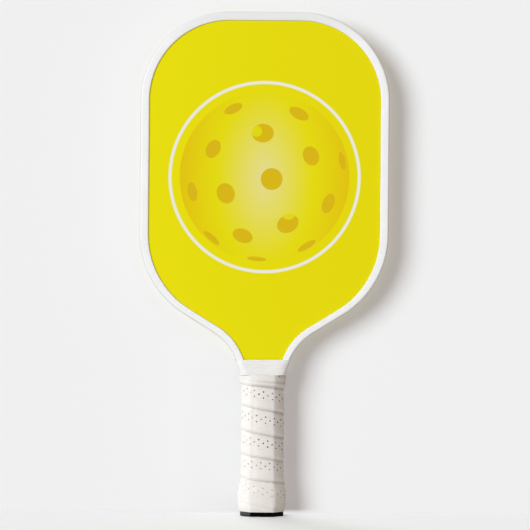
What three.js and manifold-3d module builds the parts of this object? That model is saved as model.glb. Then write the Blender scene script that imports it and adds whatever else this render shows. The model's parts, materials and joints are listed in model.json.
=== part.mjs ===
// A pickleball paddle, in millimetres, standing on the flat end of its handle.
// Origin: centre of the handle's flat end. +Z runs up the handle to the tip of the blade,
// the front face looks towards -Y and +X is to the right of the front face.
//
// The blade is a sandwich: a honeycomb core between two fibreglass sheets, each under a
// printed film, with a soft plastic guard around the edge. The core and sheets run down
// into the handle as a tongue. Two half shells clamp the tongue, a cap closes the end, and
// the handle is wrapped with adhesive tape, a cushioned grip and a finishing tape.

import * as THREE from "three";
import { mergeVertices } from "three/addons/utils/BufferGeometryUtils.js";
import Module from "manifold-3d";

const wasm = await Module();
wasm.setup();

// ---- Driving dimensions ---------------------------------------------------------------

const LENGTH = 400;                  // butt end to blade tip
const BLADE_HALF_WIDTH = 98.8;       // outside the edge guard
const TOP_CORNER_RADIUS = 70.6;
const LOWER_CORNER_RADIUS = 75.2;
const LOWER_CORNER_HEIGHT = 223.9;   // where the straight sides end
const THROAT_RADIUS = 46.1;          // hollow curve from the shoulder to the handle
const THROAT_CENTRE = { x: 63.9, y: 106.2 };
const ARC_STEP = THREE.MathUtils.degToRad(7);

const CORE_THICKNESS = 12.6;
const ADHESIVE_THICKNESS = 0.2;
const SHEET_THICKNESS = 0.6;
const FILM_THICKNESS = 0.2;
const CELL_PITCH = 16;               // between neighbouring honeycomb cells
const CELL_WALL = 1.6;
const CELL_MARGIN = 5;               // solid rim left around the honeycomb

const GUARD_WIDTH = 6.4;             // how far a lip reaches in over the face
const GUARD_WALL = 2;
const GUARD_LIP = 1.2;
const GUARD_LIP_EASE = 0.5;          // taken off the lip's inner corner
const GUARD_ROUND = 1.8;             // radius of the outer corners
const GUARD_END = 113.6;             // height at which the guard stops on the throat
const EDGE_TAPE_THICKNESS = 0.2;
const EDGE_TAPE_GAP = 0.1;
const PANEL_INSET = 2.4;             // from the outside of the guard to the panel's edge
const PANEL_THROAT_END = 113.4;      // height at which the blade steps in to the tongue

const TONGUE_HALF_WIDTH = 11;
const PALLET_HALF_WIDTH = 15.2;      // octagonal handle under the grip
const PALLET_HALF_DEPTH = 12.2;
const PALLET_BEVEL = 6.85;
const RAMP_START = 106;              // the handle thins from here up to the blade
const RAMP_END = 123.6;
const RAMP_HALF_DEPTH = 8.3;
const NOSE_START = 112.4;            // above this the shells only lie on the faces
const NOSE_HALF_WIDTH = 11.5;
const NOSE_BEVELS = [3.4, 0.85];     // at its foot and at its tip
const BOND_THICKNESS = 0.2;

const CAP_FLOOR = 3.4;               // thickness of the butt cap's end
const CAP_HALF_WIDTH = 17.2;
const CAP_HALF_DEPTH = 14.2;
const CAP_CHAMFER = 0.6;
const CAP_SKIRT_TOP = 28;
const CAP_CLEARANCE = 0.15;
// Swell of the handle over the butt cap's skirt: height and extra half width.
const SWELL = [[3.4, 0.5], [9, 2.3], [20, 2.3], [28, 0.8], [32, 0]];

const STAPLE = { height: 15, halfSpan: 4.5, wire: 0.6, width: 1.2, legDepth: 5.9 };

const WRAP_BOTTOM = 3.7;
const WRAP_TOP = 113;
const TOP_TURN_BULGE = 1;            // the doubled last turn under the finishing tape
const LAYERS = {                     // inner and outer offset from the bare handle
  handleTape: [0.1, 0.3],
  backing: [0.4, 1.1],
  cover: [1.2, 1.8],
};

const COLLAR_BOTTOM = 112.1;
const COLLAR_TOP = 124.1;
const COLLAR_THICKNESS = 0.5;
const COLLAR_CLEARANCE = 0.25;
const COLLAR_HALF_DEPTHS = [13.9, 8.9];
const COLLAR_BEVELS = [5.5, 1.2];

const GAP = 0.3;                     // left between two pieces that are cut to each other
const CORNER_EASE = 1.2;             // length taken off each corner of an octagon
const OCTAGON_OFFSET_BEVEL = 2 - Math.SQRT2;

const SHEET_BASE = CORE_THICKNESS / 2 + ADHESIVE_THICKNESS;
const FILM_BASE = SHEET_BASE + SHEET_THICKNESS;
const PANEL_HALF_THICKNESS = FILM_BASE + FILM_THICKNESS;

// ---- Geometry helpers -----------------------------------------------------------------

/** Turns a geometry's faces outwards if its enclosed volume comes out negative. */
function facingOut(geometry) {
  const position = geometry.attributes.position;
  const index = geometry.index.array;
  const corner = [0, 1, 2].map(() => new THREE.Vector3());
  let volume = 0;
  for (let i = 0; i < index.length; i += 3) {
    corner.forEach((point, k) => point.fromBufferAttribute(position, index[i + k]));
    volume += corner[0].dot(corner[1].cross(corner[2])) / 6;
  }
  if (volume < 0) index.reverse();
  return geometry;
}

/** A closed geometry from points and triangles. */
function closedGeometry(points, triangles) {
  const geometry = new THREE.BufferGeometry().setFromPoints(points);
  geometry.setIndex(triangles);
  return facingOut(geometry);
}

/** Side faces between neighbouring rings of equal length; the last joins the first if asked. */
function sideTriangles(ringCount, ringSize, joined) {
  const triangles = [];
  const spans = joined ? ringCount : ringCount - 1;
  for (let i = 0; i < spans; i += 1) {
    const lower = i * ringSize;
    const upper = ((i + 1) % ringCount) * ringSize;
    for (let j = 0; j < ringSize; j += 1) {
      const k = (j + 1) % ringSize;
      triangles.push(lower + j, lower + k, upper + k, lower + j, upper + k, upper + j);
    }
  }
  return triangles;
}

/** A solid through a row of rings, closed by a flat cap at each end. */
function loft(rings, contour) {
  const size = rings[0].length;
  const triangles = sideTriangles(rings.length, size, false);
  const last = (rings.length - 1) * size;
  const clockwise = THREE.ShapeUtils.isClockWise(contour);
  for (const cap of THREE.ShapeUtils.triangulateShape(contour, [])) {
    const [a, b, c] = clockwise ? cap.reverse() : cap;
    triangles.push(c, b, a, last + a, last + b, last + c);
  }
  return closedGeometry(rings.flat(), triangles);
}

/** A tube-like solid through rings that come back to the first one. */
function sleeve(rings) {
  return closedGeometry(rings.flat(), sideTriangles(rings.length, rings[0].length, true));
}

/** A flat plate between two depths, from its outline. */
function plate(outline, zLow, zHigh, holes = []) {
  const shape = new THREE.Shape(outline);
  shape.holes = holes.map((hole) => new THREE.Path(hole));
  const geometry = new THREE.ExtrudeGeometry(shape, { depth: zHigh - zLow, bevelEnabled: false });
  return geometry.translate(0, 0, zLow);
}

function box(xRange, yRange, zRange) {
  const spans = [xRange, yRange, zRange];
  const [width, height, depth] = spans.map(([low, high]) => high - low);
  const [x, y, z] = spans.map(([low, high]) => (low + high) / 2);
  return new THREE.BoxGeometry(width, height, depth).translate(x, y, z);
}

function toSolid(geometry) {
  const bare = geometry.clone();
  bare.deleteAttribute("normal");
  bare.deleteAttribute("uv");
  const merged = mergeVertices(bare, 1e-4);
  return new wasm.Manifold(new wasm.Mesh({
    numProp: 3,
    vertProperties: new Float32Array(merged.attributes.position.array),
    triVerts: new Uint32Array(merged.index.array),
  }));
}

function fromSolid(solid) {
  const mesh = solid.getMesh();
  const geometry = new THREE.BufferGeometry();
  geometry.setAttribute("position", new THREE.BufferAttribute(mesh.vertProperties, 3));
  geometry.setIndex(new THREE.BufferAttribute(mesh.triVerts, 1));
  return geometry;
}

/** Cuts every one of the cutters out of a geometry. */
function cut(geometry, cutters) {
  const solid = cutters.reduce((rest, cutter) => rest.subtract(toSolid(cutter)), toSolid(geometry));
  return fromSolid(solid);
}

// ---- Outline of the blade -------------------------------------------------------------

/** Points and outward normals on an arc; a hollow arc has its centre outside the blade. */
function arcStations(centre, radius, fromAngle, toAngle, hollow = false) {
  const steps = Math.max(2, Math.ceil(Math.abs(toAngle - fromAngle) / ARC_STEP));
  const reach = hollow ? -radius : radius;
  const stations = [];
  for (let i = 0; i <= steps; i += 1) {
    const angle = fromAngle + ((toAngle - fromAngle) * i) / steps;
    const normal = new THREE.Vector2(Math.cos(angle), Math.sin(angle));
    const point = normal.clone().multiplyScalar(reach).add(new THREE.Vector2(centre.x, centre.y));
    stations.push({ point, normal });
  }
  return stations;
}

/** Direction of the shoulder's normal: the line touches the lower corner and the throat. */
function shoulderAngle(lowerCorner) {
  const across = new THREE.Vector2(THROAT_CENTRE.x, THROAT_CENTRE.y).sub(lowerCorner);
  const spread = Math.acos((LOWER_CORNER_RADIUS + THROAT_RADIUS) / across.length());
  return Math.atan2(across.y, across.x) + spread;
}

/** The right half of the blade's edge, from a height on the throat up to the top. */
function rightEdge(startHeight) {
  const topCorner = new THREE.Vector2(BLADE_HALF_WIDTH - TOP_CORNER_RADIUS, LENGTH - TOP_CORNER_RADIUS);
  const lowerCorner = new THREE.Vector2(BLADE_HALF_WIDTH - LOWER_CORNER_RADIUS, LOWER_CORNER_HEIGHT);
  const shoulder = shoulderAngle(lowerCorner);
  const start = -Math.asin((startHeight - THROAT_CENTRE.y) / THROAT_RADIUS);
  return [
    ...arcStations(THROAT_CENTRE, THROAT_RADIUS, start, shoulder, true),
    ...arcStations(lowerCorner, LOWER_CORNER_RADIUS, shoulder, 0),
    ...arcStations(topCorner, TOP_CORNER_RADIUS, 0, Math.PI / 2),
  ];
}

/** The whole edge as an open run, up the right side and down the left. */
function bladeEdge(startHeight) {
  const right = rightEdge(startHeight);
  const left = right.map(({ point, normal }) => ({
    point: new THREE.Vector2(-point.x, point.y),
    normal: new THREE.Vector2(-normal.x, normal.y),
  }));
  return [...right, ...left.reverse()];
}

/** Moves a station in from the outside of the guard. */
function insetPoint({ point, normal }, inset) {
  return point.clone().addScaledVector(normal, -inset);
}

/** Half width of the guard's outside at a height on the throat. */
function throatHalfWidth(y) {
  return THROAT_CENTRE.x - Math.sqrt(THROAT_RADIUS ** 2 - (y - THROAT_CENTRE.y) ** 2);
}

/** The panel's outline: blade and tongue, grown by an allowance. */
function panelOutline(grow = 0) {
  const blade = bladeEdge(PANEL_THROAT_END).map((station) => insetPoint(station, PANEL_INSET - grow));
  const tongue = TONGUE_HALF_WIDTH + grow;
  const shoulderHeight = PANEL_THROAT_END - grow;
  const bottom = CAP_FLOOR + GAP - grow;
  const corners = [[-tongue, shoulderHeight], [-tongue, bottom], [tongue, bottom], [tongue, shoulderHeight]];
  return [...blade, ...corners.map(([x, y]) => new THREE.Vector2(x, y))];
}

// ---- Octagonal rings of the handle ----------------------------------------------------

/** An octagon with eased corners at one height. */
function octagonRing(y, halfWidth, halfDepth, bevel) {
  const flatX = halfWidth - bevel;
  const flatZ = halfDepth - bevel;
  const ease = Math.min(CORNER_EASE, bevel / 2);
  const corners = [
    [halfWidth, -flatZ], [halfWidth, flatZ], [flatX, halfDepth], [-flatX, halfDepth],
    [-halfWidth, flatZ], [-halfWidth, -flatZ], [-flatX, -halfDepth], [flatX, -halfDepth],
  ].map(([x, z]) => new THREE.Vector3(x, y, z));
  return corners.flatMap((corner, i) => {
    const before = corners[(i + 7) % 8].clone().sub(corner).setLength(ease);
    const after = corners[(i + 1) % 8].clone().sub(corner).setLength(ease);
    return [corner.clone().add(before), corner.clone().add(after)];
  });
}

/** Value at a height from a table of height and value pairs, level beyond its ends. */
function between(table, y) {
  const next = table.findIndex(([height]) => height >= y);
  if (next === 0) return table[0][1];
  if (next < 0) return table[table.length - 1][1];
  const [lowY, low] = table[next - 1];
  const [highY, high] = table[next];
  return THREE.MathUtils.mapLinear(y, lowY, highY, low, high);
}

function handleHalfDepth(y) {
  return between([[RAMP_START, PALLET_HALF_DEPTH], [RAMP_END, RAMP_HALF_DEPTH]], y);
}

/** Ring around the bare handle and cap at a height, grown outwards. */
function handleRing(y, grow) {
  const out = grow + between(SWELL, y);
  const bevel = PALLET_BEVEL + out * OCTAGON_OFFSET_BEVEL;
  return octagonRing(y, PALLET_HALF_WIDTH + out, handleHalfDepth(y) + out, bevel);
}

/** A wrapped layer over the handle, between two offsets from it. */
function wrapLayer([inner, outer]) {
  const heights = [WRAP_BOTTOM, ...SWELL.slice(1).map(([y]) => y), RAMP_START, WRAP_TOP];
  const share = (y) => (y === WRAP_TOP ? TOP_TURN_BULGE : 0);
  const outside = heights.map((y) => handleRing(y, outer + (share(y) * outer) / LAYERS.cover[1]));
  const inside = heights.map((y) => handleRing(y, inner + (share(y) * inner) / LAYERS.cover[1]));
  return sleeve([...outside, ...inside.reverse()]);
}

// ---- Pieces of the blade --------------------------------------------------------------

/** Centres of the honeycomb cells that fit inside the rim, on a triangular grid. */
function cellCentres() {
  const rim = bladeEdge(PANEL_THROAT_END).map((station) => insetPoint(station, PANEL_INSET));
  const rowHeight = CELL_PITCH * Math.sin(Math.PI / 3);
  const reach = CELL_PITCH / 2 + CELL_MARGIN;
  const clear = (centre) => rim.every((point, i) => {
    const next = rim[(i + 1) % rim.length];
    const nearest = new THREE.Line3(
      new THREE.Vector3(point.x, point.y, 0),
      new THREE.Vector3(next.x, next.y, 0),
    ).closestPointToPoint(new THREE.Vector3(centre.x, centre.y, 0), true, new THREE.Vector3());
    return Math.hypot(nearest.x - centre.x, nearest.y - centre.y) > reach;
  });
  const inside = (centre) => rim.reduce((odd, point, i) => {
    const next = rim[(i + 1) % rim.length];
    const spans = point.y > centre.y !== next.y > centre.y;
    const crossing = point.x + ((centre.y - point.y) * (next.x - point.x)) / (next.y - point.y);
    return spans && centre.x < crossing ? !odd : odd;
  }, false);
  const lastColumn = Math.ceil(BLADE_HALF_WIDTH / CELL_PITCH);
  const centres = [];
  for (let row = 0; row * rowHeight < LENGTH - COLLAR_TOP; row += 1) {
    for (let column = -lastColumn; column <= lastColumn; column += 1) {
      const x = (column + (row % 2) / 2) * CELL_PITCH;
      const centre = new THREE.Vector2(x, COLLAR_TOP + row * rowHeight);
      if (inside(centre) && clear(centre)) centres.push(centre);
    }
  }
  return centres;
}

function honeycombCore() {
  const circumradius = (CELL_PITCH - CELL_WALL) / Math.sqrt(3);
  const cells = cellCentres().map((centre) => [0, 1, 2, 3, 4, 5].map((corner) => {
    const angle = Math.PI / 6 + (corner * Math.PI) / 3;
    return new THREE.Vector2(Math.cos(angle), Math.sin(angle)).multiplyScalar(circumradius).add(centre);
  }));
  return plate(panelOutline(), -CORE_THICKNESS / 2, CORE_THICKNESS / 2, cells);
}

/** Layers of one side of the sandwich, from the core outwards. */
function panelLayer(base, thickness) {
  return plate(panelOutline(), base, base + thickness);
}

/** Channel section of the guard: inset from the outside, and depth. */
function guardSection() {
  const top = PANEL_HALF_THICKNESS + GUARD_LIP;
  const corner = GUARD_ROUND * (1 - Math.SQRT1_2);
  const front = [
    [GUARD_WIDTH, PANEL_HALF_THICKNESS],
    [GUARD_WIDTH, top - GUARD_LIP_EASE],
    [GUARD_WIDTH - GUARD_LIP_EASE, top],
    [GUARD_ROUND, top],
    [corner, top - corner],
    [0, top - GUARD_ROUND],
  ];
  const back = front.map(([inset, depth]) => [inset, -depth]).reverse();
  const inside = [[GUARD_WALL, -PANEL_HALF_THICKNESS], [GUARD_WALL, PANEL_HALF_THICKNESS]];
  return [...front, ...back, ...inside];
}

/** Carries a section, given as inset and depth pairs, around the edge of the blade. */
function aroundEdge(section, startHeight) {
  const contour = section.map(([inset, depth]) => new THREE.Vector2(inset, depth));
  const rings = bladeEdge(startHeight).map((station) => section.map(([inset, depth]) => {
    const point = insetPoint(station, inset);
    return new THREE.Vector3(point.x, point.y, depth);
  }));
  return loft(rings, contour);
}

function edgeGuardTape() {
  const outer = GUARD_WALL + EDGE_TAPE_GAP;
  const inner = outer + EDGE_TAPE_THICKNESS;
  const depth = CORE_THICKNESS / 2;
  return aroundEdge([[outer, -depth], [outer, depth], [inner, depth], [inner, -depth]], GUARD_END + 1);
}

// ---- Pieces of the handle -------------------------------------------------------------

/** Front half of an octagonal ring, closed along the handle's middle plane. */
function halfOctagon(y, halfWidth, halfDepth, bevel) {
  const front = octagonRing(y, halfWidth, halfDepth, bevel).filter(({ z }) => z > 0);
  return [new THREE.Vector3(halfWidth, y, 0), ...front, new THREE.Vector3(-halfWidth, y, 0)];
}

/** Half shell that holds the tongue; its nose thins out onto the blade's face. */
function handlePallet() {
  const noseDepth = handleHalfDepth(NOSE_START);
  const [footBevel, tipBevel] = NOSE_BEVELS;
  const rings = [
    halfOctagon(CAP_FLOOR + GAP, PALLET_HALF_WIDTH, PALLET_HALF_DEPTH, PALLET_BEVEL),
    halfOctagon(RAMP_START, PALLET_HALF_WIDTH, PALLET_HALF_DEPTH, PALLET_BEVEL),
    halfOctagon(NOSE_START, PALLET_HALF_WIDTH, noseDepth, PALLET_BEVEL),
    halfOctagon(NOSE_START, NOSE_HALF_WIDTH, noseDepth, footBevel),
    halfOctagon(RAMP_END, NOSE_HALF_WIDTH, RAMP_HALF_DEPTH, tipBevel),
  ];
  const contour = rings[0].map(({ x, z }) => new THREE.Vector2(x, z));
  const seat = PANEL_HALF_THICKNESS + BOND_THICKNESS;
  return cut(loft(rings, contour), [plate(panelOutline(GAP), -seat, seat), ...stapleHoles()]);
}

function palletBond() {
  const half = TONGUE_HALF_WIDTH - GAP;
  const depths = [PANEL_HALF_THICKNESS, PANEL_HALF_THICKNESS + BOND_THICKNESS];
  return box([-half, half], [CAP_FLOOR + 2 * GAP, RAMP_END - GAP], depths);
}

/** Outside depth of the cap's skirt where the staple lies. */
function stapleDepth() {
  return PALLET_HALF_DEPTH + between(SWELL, STAPLE.height);
}

function staple() {
  const { height, halfSpan, wire, width, legDepth } = STAPLE;
  const top = stapleDepth();
  const inside = halfSpan - wire;
  const outline = [
    [-halfSpan, top], [-halfSpan, top - legDepth], [-inside, top - legDepth], [-inside, top - wire],
    [inside, top - wire], [inside, top - legDepth], [halfSpan, top - legDepth], [halfSpan, top],
  ].map(([x, z]) => new THREE.Vector2(x, -z));
  const geometry = plate(outline, -width / 2, width / 2);
  return geometry.rotateX(-Math.PI / 2).translate(0, height, 0);
}

/** Clearance holes for the staple's legs, and the pocket for its crown. */
function stapleHoles() {
  const { height, halfSpan, wire, width, legDepth } = STAPLE;
  const top = stapleDepth();
  const yRange = [height - width / 2 - GAP, height + width / 2 + GAP];
  const open = top + wire;
  const legRange = [top - legDepth - GAP, open];
  const legs = [-1, 1].map((side) => {
    const ends = [side * (halfSpan + GAP), side * (halfSpan - wire - GAP)];
    return box([Math.min(...ends), Math.max(...ends)], yRange, legRange);
  });
  const pocket = box([-halfSpan - GAP, halfSpan + GAP], yRange, [top - wire - GAP, open]);
  return [...legs, pocket];
}

/** Cup that closes the handle: a flat end with a rim, and a flared skirt around the shells. */
function buttCap() {
  const rim = (y, shrink) => octagonRing(
    y,
    CAP_HALF_WIDTH - shrink,
    CAP_HALF_DEPTH - shrink,
    PALLET_BEVEL + (CAP_HALF_WIDTH - PALLET_HALF_WIDTH - shrink) * OCTAGON_OFFSET_BEVEL,
  );
  const skirt = SWELL.filter(([y]) => y <= CAP_SKIRT_TOP).map(([y]) => handleRing(y, 0));
  const bore = (y) => octagonRing(
    y,
    PALLET_HALF_WIDTH + CAP_CLEARANCE,
    PALLET_HALF_DEPTH + CAP_CLEARANCE,
    PALLET_BEVEL,
  );
  const rings = [
    rim(0, CAP_CHAMFER), rim(CAP_CHAMFER, 0), rim(CAP_FLOOR, 0),
    ...skirt, bore(CAP_SKIRT_TOP), bore(CAP_FLOOR),
  ];
  const contour = rings[0].map(({ x, z }) => new THREE.Vector2(x, z));
  const frontHoles = stapleHoles();
  const backHoles = stapleHoles().map((hole) => hole.rotateY(Math.PI));
  return cut(loft(rings, contour), [...frontHoles, ...backHoles]);
}

/** Band that holds down the top of the grip and the ends of the guard. */
function finishingTape() {
  const heights = [0, 0.25, 0.5, 0.75, 1].map((share) => (
    THREE.MathUtils.lerp(COLLAR_BOTTOM, COLLAR_TOP, share)
  ));
  const ring = (y, grow) => {
    const share = (y - COLLAR_BOTTOM) / (COLLAR_TOP - COLLAR_BOTTOM);
    const halfDepth = THREE.MathUtils.lerp(...COLLAR_HALF_DEPTHS, share) + grow;
    const bevel = THREE.MathUtils.lerp(...COLLAR_BEVELS, share) + grow * OCTAGON_OFFSET_BEVEL;
    return octagonRing(y, throatHalfWidth(y) + COLLAR_CLEARANCE + grow, halfDepth, bevel);
  };
  const outside = heights.map((y) => ring(y, COLLAR_THICKNESS));
  const inside = heights.map((y) => ring(y, 0));
  return sleeve([...outside, ...inside.reverse()]);
}

// ---- Materials ------------------------------------------------------------------------

const finish = (color, roughness, metalness = 0) => (
  new THREE.MeshStandardMaterial({ color, roughness, metalness })
);

const MATERIALS = {
  print: finish(0xe3da0c, 0.45),
  fibreglass: finish(0xd8dcc8, 0.5),
  adhesive: finish(0xe9e2c4, 0.6),
  core: finish(0xf0efe8, 0.7),
  guard: finish(0xf2f2f0, 0.35),
  tape: finish(0xe6e2d8, 0.8),
  pallet: finish(0xc9c6bd, 0.75),
  cap: finish(0x0b0b0c, 0.4),
  steel: finish(0xb8bcc0, 0.3, 1),
  felt: finish(0xd6d2ca, 0.95),
  grip: finish(0xeeebe6, 0.6),
  collar: finish(0xf4f4f2, 0.4),
};

// ---- Assembly -------------------------------------------------------------------------

/** Drawn facing +Z with +Y up the handle, then stood upright. */
const paddle = new THREE.Group();
paddle.rotation.x = Math.PI / 2;

function addPiece(name, geometry, material) {
  const mesh = new THREE.Mesh(geometry, material);
  mesh.name = name;
  paddle.add(mesh);
  return mesh;
}

/** The same piece on the front and, turned half way round the handle, on the back. */
function addPair(name, makeGeometry, material) {
  addPiece(`front_${name}`, makeGeometry(), material);
  addPiece(`back_${name}`, makeGeometry(), material).rotation.y = Math.PI;
}

addPiece("honeycomb_core", honeycombCore(), MATERIALS.core);
addPair("adhesive_film", () => panelLayer(CORE_THICKNESS / 2, ADHESIVE_THICKNESS), MATERIALS.adhesive);
addPair("face_sheet", () => panelLayer(SHEET_BASE, SHEET_THICKNESS), MATERIALS.fibreglass);
addPair("graphic_film", () => panelLayer(FILM_BASE, FILM_THICKNESS), MATERIALS.print);
addPiece("edge_guard", aroundEdge(guardSection(), GUARD_END), MATERIALS.guard);
addPiece("edge_guard_tape", edgeGuardTape(), MATERIALS.tape);

addPair("pallet_bond", palletBond, MATERIALS.adhesive);
addPair("handle_pallet", handlePallet, MATERIALS.pallet);
addPiece("butt_cap", buttCap(), MATERIALS.cap);
addPair("cap_staple", staple, MATERIALS.steel);
addPiece("handle_tape", wrapLayer(LAYERS.handleTape), MATERIALS.tape);
addPiece("grip_backing", wrapLayer(LAYERS.backing), MATERIALS.felt);
addPiece("grip_cover", wrapLayer(LAYERS.cover), MATERIALS.grip);
addPiece("finishing_tape", finishingTape(), MATERIALS.collar);

export default paddle;
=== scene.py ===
import json
import math

import bmesh
import bpy
import numpy as np
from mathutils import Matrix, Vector, noise

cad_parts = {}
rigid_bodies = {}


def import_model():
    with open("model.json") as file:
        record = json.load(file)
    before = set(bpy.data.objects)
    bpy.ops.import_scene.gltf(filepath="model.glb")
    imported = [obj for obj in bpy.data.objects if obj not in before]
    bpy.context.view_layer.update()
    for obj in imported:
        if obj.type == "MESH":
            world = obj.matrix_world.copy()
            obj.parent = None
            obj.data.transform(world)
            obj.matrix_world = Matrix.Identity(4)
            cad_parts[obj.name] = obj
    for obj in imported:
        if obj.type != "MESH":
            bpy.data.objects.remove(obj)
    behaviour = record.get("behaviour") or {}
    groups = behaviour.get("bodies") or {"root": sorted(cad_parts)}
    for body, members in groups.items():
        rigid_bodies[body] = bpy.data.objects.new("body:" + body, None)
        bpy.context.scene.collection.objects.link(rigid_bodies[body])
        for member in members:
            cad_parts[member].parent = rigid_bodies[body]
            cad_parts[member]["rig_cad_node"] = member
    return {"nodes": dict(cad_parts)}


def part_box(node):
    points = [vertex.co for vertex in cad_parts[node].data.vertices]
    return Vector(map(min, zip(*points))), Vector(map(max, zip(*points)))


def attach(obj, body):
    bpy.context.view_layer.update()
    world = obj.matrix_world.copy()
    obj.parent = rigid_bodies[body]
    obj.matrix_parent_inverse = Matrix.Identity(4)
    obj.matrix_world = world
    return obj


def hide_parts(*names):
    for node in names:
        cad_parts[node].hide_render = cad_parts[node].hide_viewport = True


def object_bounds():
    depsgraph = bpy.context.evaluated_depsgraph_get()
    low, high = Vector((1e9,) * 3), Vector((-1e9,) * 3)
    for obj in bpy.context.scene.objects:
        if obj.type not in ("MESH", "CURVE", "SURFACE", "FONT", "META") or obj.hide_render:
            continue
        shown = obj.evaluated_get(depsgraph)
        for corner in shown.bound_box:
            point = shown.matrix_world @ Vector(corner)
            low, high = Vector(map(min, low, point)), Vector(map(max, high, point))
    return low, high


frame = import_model()
cad_low, cad_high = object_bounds()

# A pickleball paddle standing on its butt end, front face towards -Y. Lengths are in metres,
# but those without MM in a table of shape are in millimetres, and are scaled where they are
# used. Heights are Z, and "around" is a place on the handle's perimeter, from 0 to 1, starting
# in the middle of the back and running by the left side to the front.

MM = 0.001
TURN = 2 * math.pi
BEVEL_PER_OFFSET = 2 - 2**0.5  # growth of an octagon's bevel when its sides move out

# ---- Sizes shared with the frame ----

HALF_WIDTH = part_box("edge_guard")[1].x
TIP = cad_high.z
FACE_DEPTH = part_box("back_graphic_film")[1].y
GUARD_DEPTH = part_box("edge_guard")[1].y
GUARD_END = 113.6 * MM  # height at which the guard stops on the throat
GUARD_WALL = 2 * MM
GUARD_ROUND = (1.7 * MM, 1.7 * MM)  # outer corners, front to back and across
LIP_ROUND = 0.6 * MM  # the lip's inner corner
LIP_CLEARANCE = 0.01 * MM  # between the lip's foot and the face
# How far the lip reaches in over the face, by height: the strip is pulled thin at the throat.
LIP_WIDTHS = [
    (113, 5.6), (125, 5.6), (137, 6.0), (150, 5.6), (165, 5.8), (180, 6.3), (215, 6.9), (400, 6.9),
]
TOP_CORNER_RADIUS = 70.6 * MM
LOWER_CORNER_RADIUS = 75.2 * MM
LOWER_CORNER_HEIGHT = 223.9 * MM
THROAT_RADIUS = 46.1 * MM
THROAT_CENTRE = Vector((63.9 * MM, 106.2 * MM))

HANDLE_HALF_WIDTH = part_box("front_handle_pallet")[1].x
HANDLE_HALF_DEPTH = -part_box("front_handle_pallet")[0].y
HANDLE_BEVEL = 6.85 * MM
RAMP = (106 * MM, 123.6 * MM)  # heights between which the handle thins up to the blade
RAMP_HALF_DEPTH = 8.3 * MM
COLLAR_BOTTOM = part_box("finishing_tape")[0].z
COLLAR_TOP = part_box("finishing_tape")[1].z
CAP_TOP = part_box("butt_cap")[1].z
CAP_RIM_TOP = 3.4 * MM  # the cap shows below this height

# ---- Small helpers ----


def smoothstep(low, high, value):
    """0 at low, 1 at high and eased between; low may be the larger."""
    x = np.clip((np.asarray(value, float) - low) / (high - low), 0, 1)
    return x * x * (3 - 2 * x)


def curve(table, value):
    """Value of a table of (place, amount) pairs, level beyond its ends."""
    places, amounts = zip(*table)
    return np.interp(value, places, amounts)


def bump(value, centre, width):
    """A rounded hill that is 1 at its centre."""
    return np.exp(-(((value - centre) / width) ** 2))


def as_colour(value):
    """Linear colour of an sRGB hex string; anything else stays as it is."""
    if not isinstance(value, str):
        return value
    parts = [int(value[i:i + 2], 16) / 255 for i in (0, 2, 4)]
    return tuple(p / 12.92 if p < 0.04045 else ((p + 0.055) / 1.055) ** 2.4 for p in parts) + (1,)


def scene_object(name, data, place=(0, 0, 0)):
    """Puts a new object in the scene."""
    obj = bpy.data.objects.new(name, data)
    obj.location = place
    bpy.context.scene.collection.objects.link(obj)
    return obj


def mesh_object(name, points, faces, sharp):
    """A smooth-shaded mesh piece that faces outwards and rides on the one body."""
    mesh = bpy.data.meshes.new(name)
    mesh.from_pydata([tuple(map(float, p)) for p in points], [], faces)
    shape = bmesh.new()
    shape.from_mesh(mesh)
    bmesh.ops.recalc_face_normals(shape, faces=shape.faces)
    shape.to_mesh(mesh)
    shape.free()
    mesh.shade_smooth()
    mesh.set_sharp_from_angle(angle=math.radians(sharp))
    obj = scene_object(name, mesh)
    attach(obj, "root")
    return obj


def ring_object(name, rings, sharp, looped=False):
    """A mesh piece from a row of rings: its ends are joined if it's looped, and capped if not."""
    size, faces = len(rings[0]), []
    for i in range(len(rings) if looped else len(rings) - 1):
        low, high = i * size, (i + 1) % len(rings) * size
        for j in range(size):
            k = (j + 1) % size
            faces.append((low + j, low + k, high + k, high + j))
    if not looped:
        faces += [ring_face(0, size), ring_face((len(rings) - 1) * size, size)]
    return mesh_object(name, [p for ring in rings for p in ring], faces, sharp)


def ring_face(start, size):
    """One face over a whole ring of points."""
    return tuple(range(start, start + size))


# ---- Outline of the blade ----


def arc(centre, radius, start, end, hollow=False, step=math.radians(2.5)):
    """Points and outward normals on an arc; a hollow arc has its centre outside the blade."""
    count = max(2, math.ceil(abs(end - start) / step))
    stations = []
    for i in range(count + 1):
        angle = start + (end - start) * i / count
        normal = Vector((math.cos(angle), math.sin(angle)))
        stations.append((centre + normal * (-radius if hollow else radius), normal))
    return stations


def with_straights(stations, step=8 * MM):
    """Adds points along the long straight stretches between arcs."""
    filled = [stations[0]]
    for point, normal in stations[1:]:
        before = filled[-1][0]
        count = max(1, math.ceil((point - before).length / step))
        for i in range(1, count):
            filled.append((before.lerp(point, i / count), normal))
        filled.append((point, normal))
    return filled


def blade_edge(start_height):
    """The outside of the guard as an open run, up the right side and down the left."""
    top = Vector((HALF_WIDTH - TOP_CORNER_RADIUS, TIP - TOP_CORNER_RADIUS))
    lower = Vector((HALF_WIDTH - LOWER_CORNER_RADIUS, LOWER_CORNER_HEIGHT))
    across = THROAT_CENTRE - lower
    spread = math.acos((LOWER_CORNER_RADIUS + THROAT_RADIUS) / across.length)
    shoulder = math.atan2(across.y, across.x) + spread
    start = -math.asin((start_height - THROAT_CENTRE.y) / THROAT_RADIUS)
    right = [
        *arc(THROAT_CENTRE, THROAT_RADIUS, start, shoulder, hollow=True),
        *arc(lower, LOWER_CORNER_RADIUS, shoulder, 0),
        *arc(top, TOP_CORNER_RADIUS, 0, math.pi / 2),
    ]
    left = [(Vector((-p.x, p.y)), Vector((-n.x, n.y))) for p, n in reversed(right)]
    return with_straights(right + left)


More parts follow.
